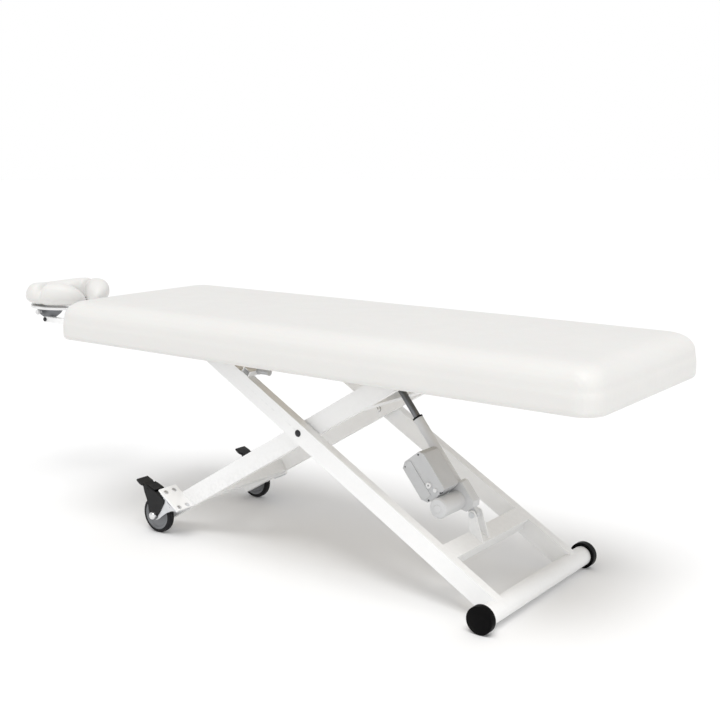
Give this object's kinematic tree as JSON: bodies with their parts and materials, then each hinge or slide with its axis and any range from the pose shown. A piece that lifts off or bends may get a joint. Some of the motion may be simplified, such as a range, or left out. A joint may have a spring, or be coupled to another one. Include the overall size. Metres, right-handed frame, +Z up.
{
  "type": "electric massage treatment couch",
  "caption": "Flat padded treatment couch on a motor driven crossed-leg lift with a foot bar, braked casters and a tilting face cradle.",
  "frame": {"origin": "on the floor under the middle of the whole length, face cradle included", "axes": "+X towards the foot end, +Y towards the far side, +Z up"},
  "size_m": [2.5034, 0.7, 0.786],
  "materials": {
    "bolt_black": "black oxide",
    "copper": "wound",
    "foam": "open cell foam",
    "frame_grey": "satin powder coat",
    "frame_white": "satin powder coat",
    "nut_bronze": "cast",
    "plastic_black": "fine grain",
    "plastic_grey": "fine grain",
    "plastic_white": "smooth",
    "plywood": "bare plywood",
    "rod_dark": "dark drawn tube",
    "rubber_black": "matt",
    "tread_grey": "matt",
    "upholstery_white": "soft grained vinyl leather",
    "zinc": "zinc plated"
  },
  "bodies": {
    "feet": {"foot_caps": "rubber_black"},
    "outer_frame": {"outer_legs": "frame_white", "foot_bar": "frame_white", "outer_lower_tube": "frame_white", "outer_upper_tube": "frame_white", "actuator_bracket": "frame_white", "actuator_pin": "zinc", "pivot_bolts": "bolt_black", "roller_axles": "zinc", "control_socket": "plastic_grey"},
    "inner_frame": {"inner_legs": "frame_white", "inner_lower_tube": "frame_white", "inner_upper_tube": "frame_white", "rod_bracket": "frame_white", "rod_pin": "zinc", "pivot_bushes": "plastic_black", "caster_brackets": "frame_white", "caster_plates": "zinc", "caster_bolts": "zinc"},
    "couch_top": {"side_rails": "frame_grey", "cross_rails": "frame_grey", "hinge_brackets": "frame_grey", "roller_tracks": "frame_grey", "wooden_tray": "plywood", "foam_core": "foam", "upholstery": "upholstery_white", "cradle_sockets": "frame_grey"},
    "guide_roller_near": {"roller_near": "plastic_white"},
    "guide_roller_far": {"roller_far": "plastic_white"},
    "actuator": {"actuator_tube": "plastic_grey", "gear_housing": "plastic_grey", "motor_housing": "plastic_grey", "control_box": "plastic_grey", "control_box_lid": "plastic_grey", "box_screws": "bolt_black", "lead_plugs": "plastic_white", "tube_seal": "rubber_black"},
    "screw": {"lead_screw": "zinc"},
    "armature": {"motor_armature": "copper"},
    "rod": {"push_rod": "rod_dark", "spindle_nut": "nut_bronze", "rod_eye": "rod_dark"},
    "cradle_frame": {"cradle_rods": "zinc", "cradle_crossbar": "frame_white", "cradle_arms": "frame_white", "tilt_bolts": "bolt_black"},
    "cradle_head": {"cradle_platform": "plastic_grey", "cradle_cheeks": "rod_dark", "cradle_cushion": "upholstery_white"},
    "cradle_clamp": {"cradle_lever": "plastic_white"},
    "caster_near": {"fork_near": "zinc", "axle_near": "zinc", "brake_frame_near": "plastic_black"},
    "caster_far": {"fork_far": "zinc", "axle_far": "zinc", "brake_frame_far": "plastic_black"},
    "wheel_near_body": {"wheel_near": "tread_grey"},
    "wheel_far_body": {"wheel_far": "tread_grey"},
    "brake_near_body": {"brake_pedal_near": "plastic_black"},
    "brake_far_body": {"brake_pedal_far": "plastic_black"}
  },
  "joints": [
    {"name": "lift", "type": "hinge", "parent": "feet", "child": "outer_frame", "pos_m": [0.92525, 0, 0.04], "axis": [0, 1, 0], "range_deg": [-11, 4]},
    {"name": "scissor_pivot", "type": "hinge", "parent": "outer_frame", "child": "inner_frame", "pos_m": [0.23725, 0, 0.4325], "axis": [0, -1, 0], "range_deg": [-23.5, 8.6], "stiffness_Nm_per_rad": 8000, "springref_deg": 2.83},
    {"name": "top_hinge", "type": "hinge", "parent": "inner_frame", "child": "couch_top", "pos_m": [0.53831, 0, 0.61586], "axis": [0, 1, 0], "range_deg": [-12.5, 4.6]},
    {"name": "guide_roller_near_spin", "type": "hinge", "parent": "outer_frame", "child": "guide_roller_near", "pos_m": [-0.10367, -0.187, 0.62699], "axis": [0, 1, 0], "continuous": true},
    {"name": "guide_roller_far_spin", "type": "hinge", "parent": "outer_frame", "child": "guide_roller_far", "pos_m": [-0.10367, 0.187, 0.62699], "axis": [0, 1, 0], "continuous": true},
    {"name": "actuator_tilt", "type": "hinge", "parent": "outer_frame", "child": "actuator", "pos_m": [0.74625, -0.045, 0.231], "axis": [0, 1, 0], "range_deg": [-2.6, 1]},
    {"name": "screw_spin", "type": "hinge", "parent": "actuator", "child": "screw", "pos_m": [0.74625, -0.045, 0.231], "axis": [-0.6223, 0, 0.7827], "continuous": true},
    {"name": "armature_spin", "type": "hinge", "parent": "actuator", "child": "armature", "pos_m": [0.69325, -0.045, 0.26552], "axis": [0, 1, 0], "continuous": true},
    {"name": "rod_slide", "type": "slide", "parent": "actuator", "child": "rod", "axis": [-0.6223, 0, 0.7827], "range_m": [-0.1105, 0.0405]},
    {"name": "cradle_reach", "type": "slide", "parent": "couch_top", "child": "cradle_frame", "axis": [-1, 0, 0], "range_m": [-0.045, 0.06]},
    {"name": "cradle_tilt", "type": "hinge", "parent": "cradle_frame", "child": "cradle_head", "pos_m": [-1.10275, 0, 0.642], "axis": [0, 1, 0], "range_deg": [-12, 12]},
    {"name": "cradle_clamp_turn", "type": "hinge", "parent": "cradle_head", "child": "cradle_clamp", "pos_m": [-1.15075, 0, 0.664], "axis": [0, 1, 0], "range_deg": [0, 90]},
    {"name": "caster_near_swivel", "type": "hinge", "parent": "inner_frame", "child": "caster_near", "pos_m": [-0.29592, -0.244, 0.11369], "axis": [0.5592, 0, 0.829], "range_deg": [-12, 12]},
    {"name": "wheel_near_spin", "type": "hinge", "parent": "caster_near", "child": "wheel_near_body", "pos_m": [-0.37025, -0.244, 0.0625], "axis": [0, 1, 0], "continuous": true},
    {"name": "brake_near_press", "type": "hinge", "parent": "caster_near", "child": "brake_near_body", "pos_m": [-0.40001, -0.244, 0.14892], "axis": [0, -1, 0], "range_deg": [0, 14]},
    {"name": "caster_far_swivel", "type": "hinge", "parent": "inner_frame", "child": "caster_far", "pos_m": [-0.29592, 0.244, 0.11369], "axis": [0.5592, 0, 0.829], "range_deg": [-12, 12]},
    {"name": "wheel_far_spin", "type": "hinge", "parent": "caster_far", "child": "wheel_far_body", "pos_m": [-0.37025, 0.244, 0.0625], "axis": [0, 1, 0], "continuous": true},
    {"name": "brake_far_press", "type": "hinge", "parent": "caster_far", "child": "brake_far_body", "pos_m": [-0.40001, 0.244, 0.14892], "axis": [0, -1, 0], "range_deg": [0, 14]}
  ],
  "couplings": [
    {"joint": "scissor_pivot", "follows": "lift", "ratio": 2.126},
    {"joint": "top_hinge", "follows": "lift", "ratio": 1.126},
    {"joint": "actuator_tilt", "follows": "lift", "ratio": 0.2214},
    {"joint": "rod_slide", "follows": "lift", "m_per_rad": 0.5618},
    {"joint": "screw_spin", "follows": "armature_spin", "ratio": 0.04}
  ]
}
